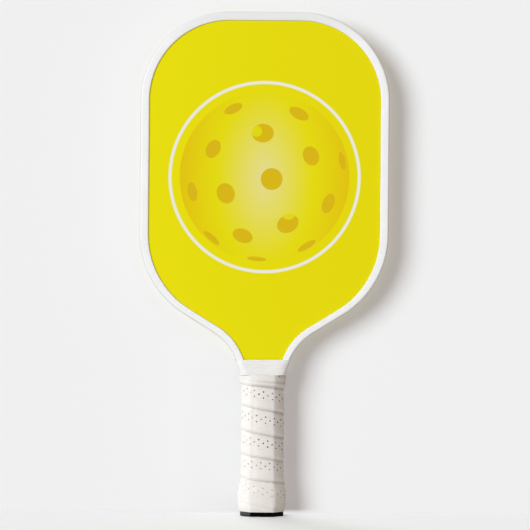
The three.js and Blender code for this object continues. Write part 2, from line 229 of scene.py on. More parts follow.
def throat_half_width(z):
    """Half the width between the blade's hollow sides, just above the handle."""
    return THROAT_CENTRE.x - np.sqrt(THROAT_RADIUS**2 - (z - THROAT_CENTRE.y) ** 2)


# ---- Edge guard ----


def guard_profile(width):
    """Half of the channel's section, from the lip's foot to the middle: inset and depth."""
    round_deep, round_wide = GUARD_ROUND
    points = [(width, FACE_DEPTH + LIP_CLEARANCE), (width, GUARD_DEPTH - LIP_ROUND)]
    for angle in np.radians([22, 45, 68, 90]):
        inset = width - LIP_ROUND * (1 - math.cos(angle))
        points.append((inset, GUARD_DEPTH - LIP_ROUND * (1 - math.sin(angle))))
    points.append((0.6 * width + 0.4 * round_wide, GUARD_DEPTH))
    for angle in np.radians(np.linspace(0, 90, 9)):
        inset = round_wide * (1 - math.sin(angle))
        points.append((inset, GUARD_DEPTH - round_deep * (1 - math.cos(angle))))
    points.append((0, (GUARD_DEPTH - round_deep) / 2))
    return points


def edge_guard():
    """Moulded channel around the blade, slightly uneven where it was bent on."""
    inside = [(GUARD_WALL, -FACE_DEPTH), (GUARD_WALL, FACE_DEPTH)]
    rings = []
    for point, normal in blade_edge(GUARD_END):
        wave = 0.05 * MM * noise.noise(Vector((point.x, 0, point.y)) / (22 * MM))
        half = guard_profile(curve(LIP_WIDTHS, point.y / MM) * MM + wave)
        profile = half + [(0, 0)] + [(i, -d) for i, d in reversed(half)] + inside
        places = [(point - normal * inset, depth) for inset, depth in profile]
        rings.append([(place.x, -depth, place.y) for place, depth in places])
    guard = ring_object("edge_guard_moulding", rings, sharp=50)
    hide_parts("edge_guard")
    return guard


# ---- Handle section ----


def octagon_corners(half_width, half_depth, bevel):
    """Corners from the back's right end, round by the left side."""
    flat_x, flat_y = half_width - bevel, half_depth - bevel
    return [
        (flat_x, half_depth), (-flat_x, half_depth), (-half_width, flat_y), (-half_width, -flat_y),
        (-flat_x, -half_depth), (flat_x, -half_depth), (half_width, -flat_y), (half_width, flat_y),
    ]


def rounded_octagon(half_width, half_depth, bevel, radius, arc_steps=5):
    """Points and normals around an octagon with arcs for corners, from the middle of the back."""
    inner_bevel = bevel - radius * BEVEL_PER_OFFSET
    inner = octagon_corners(half_width - radius, half_depth - radius, inner_bevel)
    points = [(0, half_depth)]
    normals = [(0, 1)]
    for i, (x, y) in enumerate(inner[1:] + inner[:1]):
        start = math.pi / 2 + i * math.pi / 4
        for step in range(arc_steps + 1):
            angle = start + math.pi / 4 * step / arc_steps
            normal = (math.cos(angle), math.sin(angle))
            points.append((x + radius * normal[0], y + radius * normal[1]))
            normals.append(normal)
    points.append(points[0])
    normals.append(normals[0])
    return np.array(points), np.array(normals)


BARE_RADIUS = 1 * MM
BARE_POINTS, BARE_NORMALS = rounded_octagon(
    HANDLE_HALF_WIDTH, HANDLE_HALF_DEPTH, HANDLE_BEVEL, BARE_RADIUS
)
GRIP_THICKNESS = 1.78 * MM
OUTER_POINTS = BARE_POINTS + BARE_NORMALS * GRIP_THICKNESS
AROUND = np.concatenate([[0], np.cumsum(np.linalg.norm(np.diff(OUTER_POINTS, axis=0), axis=1))])
PERIMETER = AROUND[-1]
AROUND = AROUND / PERIMETER
# The padding rounds the flats: the places where each starts and ends, and its crown.
BROAD_CROWN = 0.75 * MM  # on the front and back
SIDE_CROWN = 0.3 * MM  # on the sides and bevels
CORNER_POINTS = (len(AROUND) - 2) // 8
FRONT = 4  # the front's place among the eight flats
FLATS = []
for k in range(1, 8):
    start, end = AROUND[CORNER_POINTS * k], AROUND[CORNER_POINTS * k + 1]
    FLATS.append((start, end, BROAD_CROWN if k == FRONT else SIDE_CROWN))
FLATS += [(AROUND[-2] - 1, AROUND[1], BROAD_CROWN), (AROUND[-2], AROUND[1] + 1, BROAD_CROWN)]
LEFT_CORNER = FLATS[FRONT - 1][0]
LEFT_CORNER_DROP = 0.35 * MM  # the front's left corner is worn rounder than the right
LEFT_CORNER_WIDTH = 2.2 * MM


def flat_crown(around):
    """How far the padding stands out past the ends of its flat, and in at the worn corner."""
    height = -LEFT_CORNER_DROP * bump((around - LEFT_CORNER) * PERIMETER, 0, LEFT_CORNER_WIDTH)
    for start, end, crown in FLATS:
        share = (around - (start + end) / 2) / ((end - start) / 2)
        height = height + np.maximum(crown * (1 - share**2), 0)
    return height


# Extra size of the handle over the butt cap's skirt, by height.
SWELL = [
    (0, 0.45), (3.4, 0.6), (5, 1.15), (7, 1.85), (9, 2.2), (12, 2.32), (17, 2.32),
    (20, 2.15), (24, 1.4), (28, 0.6), (31, 0.15), (34, 0),
]


def swell(z):
    """The flare at the butt, with its table's corners averaged over 1 mm each way."""
    spread = [curve(SWELL, z / MM + shift) for shift in (-1, 0, 1)]
    return np.mean(spread, axis=0) * MM


def depth_share(z):
    """How much thinner the handle is, front to back, where it runs out onto the blade."""
    return curve([(RAMP[0], 1), (RAMP[1], RAMP_HALF_DEPTH / HANDLE_HALF_DEPTH)], z)


def on_handle(around, z, offset):
    """Points at a distance outside the bare handle."""
    around, z, offset = np.broadcast_arrays(np.mod(around, 1.0), z, offset)
    base = [np.interp(around, AROUND, BARE_POINTS[:, axis]) for axis in (0, 1)]
    out = [np.interp(around, AROUND, BARE_NORMALS[:, axis]) for axis in (0, 1)]
    reach = offset + swell(z)
    x = base[0] + out[0] * reach
    y = (base[1] + out[1] * reach) * depth_share(z)
    return np.stack([x, y, z], axis=-1)


# ---- Grip ----

# The grip is one strip wound upwards from the butt. "turns" counts its windings past the
# middle of the front, and "rise" is the height above the strip's lower edge.
STRIP_WIDTH = 25.4 * MM
STRIP_FIRST, STRIP_LAST = -1.45, 5.72  # turns at the strip's two ends
STRIP_STEP = 0.9 * MM  # between neighbouring grid points along the strip
STRIP_CLIMB = 19.3 * MM  # in one turn, roughly
# Height of the strip's lower edge at the middle of the front, at each whole turn.
WINDINGS = [
    (-2, -29), (-1, -11), (0, 8.2), (1, 28.7), (2, 46), (3, 64.7), (4, 84.6), (5, 102.9), (6, 119),
]
# How much less each winding climbs on the front than around the handle on average.
LEVELLING = [(0.5, 0), (0.75, 9), (1.3, 9), (1.6, 2), (4.4, 1.5), (4.7, 7), (6, 7)]
GRIP_BOTTOM = 3.65 * MM
GRIP_TOP = 113.2 * MM
GRIP_BASE = 0.34 * MM
LAYER_GAP = 0.02 * MM
HEM_HEIGHT, HEM_DEPTH = 0.6 * MM, 0.35 * MM  # of the edge trimmed at the butt
GROOVE_HEIGHT, GROOVE_DEPTH, GROOVE_WIDTH = 15 * MM, 0.08 * MM, 0.4 * MM
FLATS_SOFTEN = (10 * MM, 26 * MM)  # heights between which the flats gain their full padding
# Distance of the strip's outer surface from the bare handle, by rise. Its padded lower edge
# rides up over the skived top edge of the turn below.
OUTSIDE = [
    (0, 1.3), (0.12, 1.46), (0.35, 1.7), (0.8, 2.02), (1.6, 2.38), (2.4, 2.58), (3.2, 2.66),
    (4.2, 2.62), (5.4, 2.46), (7, 2.22), (9, 2.04), (14, 1.9), (16, 1.78), (17.5, 1.52),
    (18.5, 1.26), (19.4, 1.04), (21, 0.94), (23, 0.8), (25.2, 0.66), (25.4, 0.6), (27.4, 0.34),
]
COVERING_WIDTH = 27.4 * MM  # rise beyond which a turn no longer lifts the next one
RELIEF_MEAN = 1.9 * MM
RELIEF_AT_SIDES = 0.6  # the strip is pulled flatter round the sides
# Rise of each row of grid points, on the cover and on its felt.
COVER_ROWS = [
    0, 0.12, 0.35, 0.8, 1.6, 2.6, 3.6, 4.6, 5.3, 5.7, 6.0, 6.3, 6.7, 7.4, 8.2, 9.0, 9.8, 10.6,
    11.4, 12.2, 13.0, 13.8, 14.6, 15.4, 16.4, 17.3, 17.9, 18.25, 18.6, 19.2, 20.4, 22, 24, 25.1,
    25.4,
]
FELT_ROWS = [0, 0.35, 1.6, 3.6, 6.3, 9.8, 14.6, 18.6, 22, 25.4]
# The shares of the strip's thickness that each layer fills.
COVER_LAYER = (0.3, 1.0)
FELT_LAYER = (0.02, 0.27)
HOLE_ROWS = {9.8: 0, 12.2: 4, 14.6: 0}  # rise of each row, and its shift along the strip in steps
HOLE_SPACING = 8  # steps between holes of a row
HOLE_RADIUS = 0.6 * MM
HOLE_DEPTH = 0.9 * MM
HOLE_MIN_DEPTH = 0.12 * MM
HOLE_WEAR = 0.35  # largest change of a hole's radius, as a share of it
HOLE_RINGS = ((1, 0), (0.94, 0.12), (0.82, 1))  # rim, throat and floor: shares of radius and depth
HOLE_CORNERS = 8
FIRST_HOLE_TURN = -0.45  # the holes before this lie under the next turn
HOLE_MARGINS = (3 * MM, 1.5 * MM)  # kept clear of holes at the strip's bottom and top trim
PRESSED_LINES = (6.0, 18.25)  # rise of the lines pressed along the strip
PRESSED_DEPTH = 0.1 * MM
PRESSED_WIDTH = 0.3
FOLD_SLOPE = 0.07  # of the folds under the band, across the front
CREASE_HEIGHT = 106.9  # of the deepest fold, at the middle of the front
# The last turns swell under the band: by how much, and between which heights.
SWOLLEN = [(0.75, 101, 105.5), (0.75, 106, 111.5), (-0.9, 112.3, 112.9)]
# The folds: relief, height, share of the slope, and width.
FOLDS = [
    (-0.65, CREASE_HEIGHT, 1, 0.5), (0.28, 108.6, 0.8, 0.9), (0.2, 105.4, 1, 0.8),
    (-0.3, 110.6, 0.4, 0.45),
]


def lower_edge(turns):
    """Height of the strip's lower edge, eased from one winding to the next."""
    shifts = np.linspace(-0.42, 0.42, 9)
    height = np.mean([curve(WINDINGS, np.asarray(turns) + s) for s in shifts], axis=0)
    return (height - curve(LEVELLING, turns) * np.sin(TURN * np.asarray(turns)) / TURN) * MM


def hand_wound(turns, rise):
    """Slow unevenness of the pull on the strip."""
    values = []
    for t, r in zip(turns.ravel(), rise.ravel()):
        broad = noise.noise(Vector((t * 9.3, r / (6 * MM), 4.2)))
        values.append(broad + 0.5 * noise.noise(Vector((t * 31, r / (3 * MM), 9))))
    return np.array(values).reshape(turns.shape)


def strip_profile(turns, rise):
    """Offset of the padded surface, before the pressed lines."""
    offset = curve(OUTSIDE, rise / MM) * MM
    relief = RELIEF_AT_SIDES + (1 - RELIEF_AT_SIDES) * np.cos(TURN * turns) ** 2
    shown = 0.06 + 0.94 * smoothstep(0.35, 0.95, turns)
    level = np.where(rise < 10 * MM, RELIEF_MEAN, offset)
    offset = level + (offset - level) * shown
    above = np.maximum(offset - RELIEF_MEAN, 0) * relief
    return np.minimum(offset, RELIEF_MEAN) + above


def strip_base(turns, rise):
    """Offset of the strip's underside: it climbs over the top edge of the turn below."""
    pitch = lower_edge(turns) - lower_edge(turns - 1)
    below = strip_profile(turns - 1, rise + pitch)
    covered = (rise + pitch < COVERING_WIDTH) & (turns - 1 > STRIP_FIRST)
    return np.where(covered, np.maximum(below, GRIP_BASE) + LAYER_GAP, GRIP_BASE)


def strip_outside(turns, rise):
    """Offset of the strip's outer surface, with its pressed lines and slight unevenness."""
    outside = strip_profile(turns, rise)
    for line in PRESSED_LINES:
        outside = outside - PRESSED_DEPTH * bump(rise / MM, line, PRESSED_WIDTH)
    crown = flat_crown(np.mod(0.5 - turns, 1.0)) - SIDE_CROWN
    outside = outside + crown * smoothstep(23 * MM, 17 * MM, rise)
    return outside + 0.05 * MM * hand_wound(turns, rise)


def across_front(turns):
    """Distance along the strip's turn from the middle of the front."""
    return (turns - np.round(turns)) * PERIMETER


def top_turn(turns, z):
    """The last winding is doubled and puckers where the finishing tape pulls it in."""
    last = smoothstep(4.4, 4.7, turns)
    next_edge = np.where(turns + 1 < STRIP_LAST, lower_edge(turns + 1), 1)
    bare = smoothstep(-0.1 * MM, -0.9 * MM, z - next_edge) * smoothstep(3.9, 4.2, turns)
    swollen = sum(rise * MM * smoothstep(low, high, z / MM) for rise, low, high in SWOLLEN)
    thin = np.maximum(RELIEF_MEAN - strip_profile(turns, z - lower_edge(turns)), 0)
    under_band = smoothstep(112.9 * MM, 112.3 * MM, z)
    filled = thin * bare * smoothstep(103 * MM, 106 * MM, z) * under_band
    across = across_front(turns)
    sealed = 0.35 * MM * bump(z, 112.2 * MM, 0.6 * MM) * bump(across, 14.5 * MM, 4 * MM) * last
    folds = sum(
        relief * bump(z, height * MM + across * FOLD_SLOPE * share, width * MM)
        for relief, height, share, width in FOLDS
    )
    reach = 0.55 + 0.45 * np.cos(TURN * turns + 0.5)
    return swollen * np.maximum(last, bare) + filled + sealed + folds * MM * last * reach


def strip_grid(rows, surface):
    """Grid of points on the strip: rows of rise by steps along it, for an offset surface."""
    length = math.hypot(PERIMETER, STRIP_CLIMB)
    count = int((STRIP_LAST - STRIP_FIRST) * length / STRIP_STEP)
    turns = STRIP_FIRST + np.arange(count + 1) * STRIP_STEP / length
    turns, rise = np.meshgrid(turns, np.array(rows) * MM, indexing="ij")
    return turns, rise, strip_points(turns, rise, surface)


def strip_height(turns, rise):
    """Height on the strip, which is trimmed level at the butt and under the finishing tape."""
    wander = 0.12 * MM
    z = lower_edge(turns) + rise + wander * np.sin(turns * 23) * (rise < 1 * MM)
    squeezed = 0.12 * MM  # trimmed rows keep this much height between them in all
    squeeze = rise / STRIP_WIDTH * squeezed
    return np.clip(z, GRIP_BOTTOM + squeeze, GRIP_TOP - squeezed + squeeze)


def strip_points(turns, rise, surface):
    """Places on the strip, with its hem at the butt, and its groove and hard flats on the flare."""
    z = strip_height(turns, rise)
    offset = surface(turns, rise)
    hem = 1 - np.clip((z - GRIP_BOTTOM) / HEM_HEIGHT, 0, 1)
    padding = GRIP_THICKNESS - GRIP_BASE
    tuck = np.clip((offset - GRIP_BASE) / padding, 0, 1) * HEM_DEPTH * hem**2
    groove = GROOVE_DEPTH * bump(z, GROOVE_HEIGHT, GROOVE_WIDTH)
    offset = offset - tuck + top_turn(turns, z) - groove
    hard = 0.6 * (1 - smoothstep(*FLATS_SOFTEN, z))
    offset = offset - hard * flat_crown(np.mod(0.5 - turns, 1.0))
    return on_handle(0.5 - turns, z, offset)


def seam_shade(turns, rise):
    """Share of painted shade: 1 on the seam between two turns, fading away from it on both sides, and
    along the deepest fold under the band.
    """
    pitch = lower_edge(turns + 1) - lower_edge(turns)
    above = bump(rise / MM, 0, 1.1) * smoothstep(0.4, 1.0, turns)
    below = bump((rise - pitch) / MM, 0, 0.95) * smoothstep(0.4, 1.0, turns + 1)
    crease_height = CREASE_HEIGHT * MM + across_front(turns) * FOLD_SLOPE
    crease = bump(strip_height(turns, rise), crease_height, 0.6 * MM)
    return np.maximum(np.maximum(above, below), crease * smoothstep(4.4, 4.7, turns))


def strip_hole(turns, rise, i, j):
    """The grid points around one perforation, and its spots on the strip, ring by ring."""
    centre_turns, centre_rise = turns[i, j], rise[i, j]
    square, angles = [], []
    for a, b in ((-1, -1), (0, -1), (1, -1), (1, 0), (1, 1), (0, 1), (-1, 1), (-1, 0)):
        square.append((i + a) * turns.shape[1] + j + b)
        along = (turns[i + a, j + b] - centre_turns) * -PERIMETER
        up = lower_edge(turns[i + a, j + b]) + rise[i + a, j + b]
        up = up - (lower_edge(centre_turns) + centre_rise)
        angles.append(math.atan2(up, along))
    wear = noise.noise(Vector((centre_turns * 41, centre_rise / MM * 0.9, 2.7)))
    size_here = HOLE_RADIUS * (1 + HOLE_WEAR * wear)
    deep = HOLE_DEPTH * float(0.2 + 0.8 * smoothstep(-0.3, 2.6, centre_turns) + 0.5 * wear)
    deep = max(deep, HOLE_MIN_DEPTH)
    spots = []
    for radius, depth in HOLE_RINGS:
        for angle in angles:
            d_turns = -size_here * radius * math.cos(angle) / PERIMETER
            d_rise = size_here * radius * math.sin(angle)
            d_rise -= float(lower_edge(centre_turns + d_turns) - lower_edge(centre_turns))
            spots.append((centre_turns + d_turns, centre_rise + d_rise, depth * deep))
    return square, spots


def wound_strip(name, low, high, rows, pierced):
    """A closed helical strip between two shares of its thickness, and its count of plain faces."""

    def layer(share, sunk=0):
        return lambda turns, rise: (
            strip_base(turns, rise) * (1 - share) + strip_outside(turns, rise) * share - sunk
        )

    turns, rise, outside = strip_grid(rows, layer(high))
    _, _, inside = strip_grid(rows, layer(low))
    steps, size = turns.shape
    points = [*outside.reshape(-1, 3), *inside.reshape(-1, 3)]
    under = steps * size
    removed, faces, pit_faces = set(), [], []
    if pierced:
        spots, joins = [], []
        for i, j in hole_sites(turns, rise, rows):
            square, new_spots = strip_hole(turns, rise, i, j)
            removed.update((i + a, j + b) for a in (-1, 0) for b in (-1, 0))
            joins.append((square, len(points) + len(spots)))
            spots += new_spots
        spots = np.array(spots)
        points += [*strip_points(spots[:, 0], spots[:, 1], layer(high, sunk=spots[:, 2]))]
        for square, first in joins:
            throat, floor = first + HOLE_CORNERS, first + 2 * HOLE_CORNERS
            for k in range(HOLE_CORNERS):
                m = (k + 1) % HOLE_CORNERS
                faces.append((square[k], square[m], first + m, first + k))
                pit_faces.append((first + k, first + m, throat + m, throat + k))
                pit_faces.append((throat + k, throat + m, floor + m, floor + k))
            pit_faces.append(ring_face(floor, HOLE_CORNERS))
    for i in range(steps - 1):
        for a in range(i * size, (i + 1) * size - 1):
            b = a + size
            if (i, a - i * size) not in removed:
                faces.append((a, b, b + 1, a + 1))
            faces.append((under + a, under + a + 1, under + b + 1, under + b))
        for a in (i * size, (i + 1) * size - 1):
            faces.append((a, under + a, under + a + size, a + size))
    for end in (0, under - size):
        for a in range(end, end + size - 1):
            faces.append((a, a + 1, under + a + 1, under + a))
    strip = mesh_object(name, points, faces + pit_faces, sharp=55)
    # Share of the painted highlight on the rounded lower edge of each turn.
    ridge = bump(rise / MM, 2.3, 0.9) * smoothstep(0.4, 1.0, turns)  # top of the lower edge
    for label, values in (("seam", seam_shade(turns, rise)), ("ridge", ridge)):
        shade = np.zeros(len(points))
        shade[:under] = values.ravel()
        strip.data.attributes.new(label, "FLOAT", "POINT").data.foreach_set("value", shade)
    return strip, len(faces)


def hole_sites(turns, rise, rows):
    """Grid places of the perforations that aren't trimmed off at the butt or the band."""
    sites = []
    for height, shift in HOLE_ROWS.items():
        j = rows.index(height)
        for i in range(2 + shift, turns.shape[0] - 2, HOLE_SPACING):
            z = lower_edge(turns[i, j]) + rise[i, j]
            clear = GRIP_BOTTOM + HOLE_MARGINS[0] < z < GRIP_TOP - HOLE_MARGINS[1]
            if clear and turns[i, j] >= FIRST_HOLE_TURN:
                sites.append((i, j))
    return sites


def grip():
    """The perforated cover, with its second material in the holes, and the felt under it."""
    cover, plain = wound_strip("grip_wrap", *COVER_LAYER, COVER_ROWS, pierced=True)
    for polygon in cover.data.polygons[plain:]:
        polygon.material_index = 1
    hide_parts("grip_cover")
    felt, _ = wound_strip("grip_felt", *FELT_LAYER, FELT_ROWS, pierced=False)
    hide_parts("grip_backing")
    return cover, felt


# ---- Finishing tape ----

TAPE_EDGES = (0, 1.7, 4.9, 8.1)  # lower edges of the tape's turns, above the bottom
TAPE_STEP = 0.13 * MM  # each turn stands this far proud of the one below
TAPE_BASE = 0.12 * MM  # the lowest turn, from the ring's outline
TAPE_ROUND, TAPE_ROUND_RISE = 0.2 * MM, 0.08 * MM  # of the band's top edge
RIPPLE_DEPTH = 0.05  # of the fine lines drawn along the tape
RIPPLE_PITCH = 1.62
COLLAR_LEVELS = 48
COLLAR_INSIDE = -0.15 * MM
COLLAR_HALF_DEPTHS = (13.6 * MM, 8.75 * MM)  # at the bottom and at the top
COLLAR_CORNERS = (4.8 * MM, 2.8 * MM)  # depth of the rounded corners, likewise
COLLAR_CORNER_SHAPE = 0.56  # their depth over their width
COLLAR_CORNER_STEPS = 6
COLLAR_CLEARANCE = 0.25 * MM
COLLAR_OVERRUN = 0.4 * MM  # the most that a tilted ring may stand above the band's top
# Places in a ring after which a flat starts, and the number of parts that it is cut into.
FLAT_STARTS = {(COLLAR_CORNER_STEPS + 1) * k for k in range(9)}
FLAT_PARTS = 8


def collar_ring(share, offset):
    """One ring of the band, tilted a little as hand-wound tape lies, and most at the top."""
    slant = (0.1 + 0.15 * share) * MM
    level = COLLAR_BOTTOM + share * (COLLAR_TOP - COLLAR_BOTTOM)
    half_width = throat_half_width(level) + COLLAR_CLEARANCE
    half_depth = np.interp(share, (0, 1), COLLAR_HALF_DEPTHS)
    radius = np.interp(share, (0, 1), COLLAR_CORNERS)
    narrow = half_width * COLLAR_CORNER_SHAPE
    bevel = radius * BEVEL_PER_OFFSET
    points, normals = rounded_octagon(narrow, half_depth, bevel, radius, COLLAR_CORNER_STEPS)
    points = points / (COLLAR_CORNER_SHAPE, 1)
    normals = normals * (COLLAR_CORNER_SHAPE, 1)
    normals = normals / np.linalg.norm(normals, axis=1)[:, None]
    ring = []
    for (x, y), (nx, ny) in zip(points[:-1], normals[:-1]):
        z = level + slant * math.sin(math.atan2(y, x) + 0.2) + slant * x / half_width
        ring.append((x + nx * offset, y + ny * offset, min(z, COLLAR_TOP + COLLAR_OVERRUN)))
    return dense_ring(ring)


def dense_ring(ring):
    """Adds points along the flats."""
    filled = []
    for i, point in enumerate(ring):
        filled.append(point)
        if i in FLAT_STARTS:
            start, end = np.array(point), np.array(ring[(i + 1) % len(ring)])
            filled += [
                tuple(start + (end - start) * k / FLAT_PARTS) for k in range(1, FLAT_PARTS)
            ]
    return filled


def finishing_tape():
    """The white band: tape in laps, each a little proud of the one below."""
    height = COLLAR_TOP - COLLAR_BOTTOM
    steps = [(edge + rise) * MM / height for edge in TAPE_EDGES for rise in (-0.06, 0.02, 0.14)]
    even = np.linspace(0.02, 0.985, COLLAR_LEVELS)
    levels = sorted({0.0, *[s for s in steps if 0 < s < 1], *even, 1.0})

    def outside(share):
        rise = share * height / MM
        laps = sum(smoothstep(edge - 0.07, edge + 0.1, rise) for edge in TAPE_EDGES[1:])
        relax = 0.03 * sum(bump(rise, edge - 0.35, 0.3) for edge in TAPE_EDGES[1:])
        ripple = RIPPLE_DEPTH * math.sin(TURN * rise / RIPPLE_PITCH)
        return TAPE_BASE + TAPE_STEP * float(laps) + (ripple - relax) * MM

    rings = [collar_ring(s, outside(s)) for s in levels]
    rounded = collar_ring(1.0, outside(1.0) - TAPE_ROUND)
    rings.append([(x, y, z + TAPE_ROUND_RISE) for x, y, z in rounded])
    rings += [collar_ring(s, COLLAR_INSIDE) for s in (1.0, 0.75, 0.5, 0.25, 0.0)]
    band = ring_object("finishing_tape_band", rings, sharp=60, looped=True)
    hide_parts("finishing_tape")
    return band


# ---- Butt cap ----

CAP_HALF_WIDTH = 17.2 * MM
CAP_HALF_DEPTH = 14.2 * MM
CAP_RADIUS = 0.8 * MM
SKIRT_THICKNESS = 1.2 * MM
SKIRT_LEVELS = 14
# The dished end and the rounded rim: how far in from the outside, and height, from the middle out.
CAP_END = [(11, 0.7), (10.6, 0.66), (5.2, 0.6), (4.6, 0.5), (4.3, 0.16), (3.9, 0.04), (3.4, 0)]
CAP_RIM = [(1.1, 0), (0.5, 0.1), (0.15, 0.4), (0, 0.9), (0, 2.9), (0.1, 3.25), (0.35, 3.4)]


def cap_ring(shrink, z):
    """One octagon of the cap's end or rim."""
    bevel = HANDLE_BEVEL + (CAP_HALF_WIDTH - HANDLE_HALF_WIDTH - shrink) * BEVEL_PER_OFFSET
    width, depth = CAP_HALF_WIDTH - shrink, CAP_HALF_DEPTH - shrink
    points, _ = rounded_octagon(width, depth, bevel, CAP_RADIUS)
    return [(x, y, z) for x, y in points[:-1]]


def skirt_ring(z, reach):
    """One ring of the skirt, at a distance outside the bare handle's straight sides."""
    pairs = zip(BARE_POINTS[:-1], BARE_NORMALS[:-1])
    return [(x + nx * reach, y + ny * reach, z) for (x, y), (nx, ny) in pairs]


def butt_cap():
    """Moulded cap: dished end with a raised lip, rounded rim, and a flared skirt under the grip."""
    rings = [cap_ring(shrink * MM, z * MM) for shrink, z in CAP_END + CAP_RIM]
    rings += [skirt_ring(z, swell(z)) for z in np.linspace(CAP_RIM_TOP, CAP_TOP, SKIRT_LEVELS)]
    rings += [skirt_ring(z, -SKIRT_THICKNESS) for z in (CAP_TOP, CAP_RIM_TOP)]
    cap = ring_object("butt_cap_moulding", rings, sharp=35)
    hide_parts("butt_cap")
    return cap


# ---- Material nodes ----


def add_node(tree, kind, inputs=(), **settings):
    """Adds a node; inputs are (socket, value or output) pairs."""
    node = tree.nodes.new(kind)
    for key, value in settings.items():
        setattr(node, key, value)
    for socket, value in inputs:
        if isinstance(value, bpy.types.NodeSocket):
            tree.links.new(value, node.inputs[socket])
        else:
            node.inputs[socket].default_value = value
    return node


class Shader:
    """A material's node tree, with short calls to add to it."""

    def __init__(self, name, colour, roughness, **uniform):
        self.material = bpy.data.materials.new(name)
        self.material.use_nodes = True
        self.tree = self.material.node_tree
        self.surface = self.tree.nodes["Principled BSDF"]
        self.surface.inputs["Base Color"].default_value = as_colour(colour)
        self.surface.inputs["Roughness"].default_value = roughness
        for socket, value in uniform.items():
            self.surface.inputs[socket.replace("_", " ")].default_value = value
        self.place = self.add("ShaderNodeTexCoord").outputs["Object"]

    def add(self, kind, inputs=(), **settings):
        return add_node(self.tree, kind, inputs, **settings)

    def calc(self, operation, a, b=0.0, c=0.0, clamp=False):
        inputs = ((0, a), (1, b), (2, c))
        return self.add("ShaderNodeMath", inputs, operation=operation, use_clamp=clamp).outputs[0]

    def times(self, a, b):
        return self.calc("MULTIPLY", a, b)

    def squares(self, x, y):
        """The sum of two squares."""
        return self.calc("ADD", self.times(x, x), self.times(y, y))

    def length(self, x, y):
        return self.calc("SQRT", self.squares(x, y))

    def noise(self, size, detail=3.0, roughness=0.5, stretch=None):
        """Noise whose features are about a given size across, from 0 to 1."""
        place = self.scaled(stretch) if stretch else self.place
        inputs = (("Vector", place), ("Scale", 1 / size), ("Detail", detail), ("Roughness", roughness))
        return self.add("ShaderNodeTexNoise", inputs).outputs["Fac"]

    def cells(self, size):
        """Distance to the middle of the nearest cell."""
        inputs = (("Vector", self.place), ("Scale", 1 / size))
        return self.add("ShaderNodeTexVoronoi", inputs, feature="F1").outputs["Distance"]

    def scaled(self, factors):
        inputs = (("Vector", self.place), ("Scale", factors))
        return self.add("ShaderNodeMapping", inputs, vector_type="POINT").outputs[0]

    def attribute(self, name):
        return self.add("ShaderNodeAttribute", attribute_name=name).outputs["Fac"]

    def ramp(self, value, low, high, out_low=0.0, out_high=1.0):
        """Runs evenly from out_low, where the value is low, to out_high, where it is high."""
        ends = (("From Min", low), ("From Max", high), ("To Min", out_low), ("To Max", out_high))
        return self.add("ShaderNodeMapRange", (("Value", value), *ends), clamp=True).outputs[0]

    def mix(self, share, low, high):
        """Blend of two colours, each an output, a colour or a hex string."""
        inputs = ((0, share), (6, as_colour(low)), (7, as_colour(high)))
        return self.add("ShaderNodeMix", inputs, data_type="RGBA").outputs[2]

    def colour(self, output):
        self.tree.links.new(output, self.surface.inputs["Base Color"])

    def rough(self, output):
        self.tree.links.new(output, self.surface.inputs["Roughness"])

    def part(self, vector, index):
        return self.add("ShaderNodeSeparateXYZ", ((0, vector),)).outputs[index]

    def axis(self, source, index):
        """One axis of the object's own position or surface direction."""
        return self.part(self.add("ShaderNodeTexCoord").outputs[source], index)

    def along(self, index, low, high, out_low=0.0, out_high=1.0):
        """A ramp between two places along one axis of the object."""
        return self.ramp(self.axis("Object", index), low, high, out_low, out_high)

    def between(self, index, low, high):
        """Rises from 0 to 1 between two places along a world axis."""
        place = self.add("ShaderNodeNewGeometry").outputs["Position"]
        return self.ramp(self.part(place, index), low, high)

    def relief(self, *layers):
        """Bump from (height output, depth in metres) layers."""
        normal = None
        for height, depth in layers:
            inputs = [("Height", height), ("Distance", depth), ("Strength", 1.0)]
            if normal:
                inputs.append(("Normal", normal))
            normal = self.add("ShaderNodeBump", inputs).outputs[0]
        self.tree.links.new(normal, self.surface.inputs["Normal"])


# ---- Printed faces ----

PRINT_CENTRE = 268.9 * MM
RING_RADIUS = 75.0 * MM
RING_WIDTH = 2.4 * MM
BALL_RADIUS = 67.3 * MM
PRINT_SOFTNESS = 0.6 * MM
GLOW = (0.6, 1.07)  # half axes of the pale glow, in ball radii
# Holes of the printed ball, in degrees: turn about the line of sight, tilt away from it, and
# half the angle that the hole spans.
PRINTED_HOLES = [
    (-15, 5, 7.4), (203.2, 30, 7.0), (92.7, 31.5, 7.4), (25, 37.2, 6.7), (151.8, 44, 6.5),
    (-63, 38.3, 7.6), (250, 48, 7.0), (-22, 55, 6.9), (192, 61, 6.6), (115, 63, 6.6), (62, 59, 7.2),
    (12.2, 70, 6.2), (-58, 73, 6.9), (229.4, 73, 6.8), (265, 77, 6.6),
]
# Spots where the far side shows through a hole: place and radius in ball radii.
SEEN_THROUGH = [(-0.098, 0.538, 0.064), (0.285, -0.41, 0.09)]
SPOT_SOFTNESS = 0.004


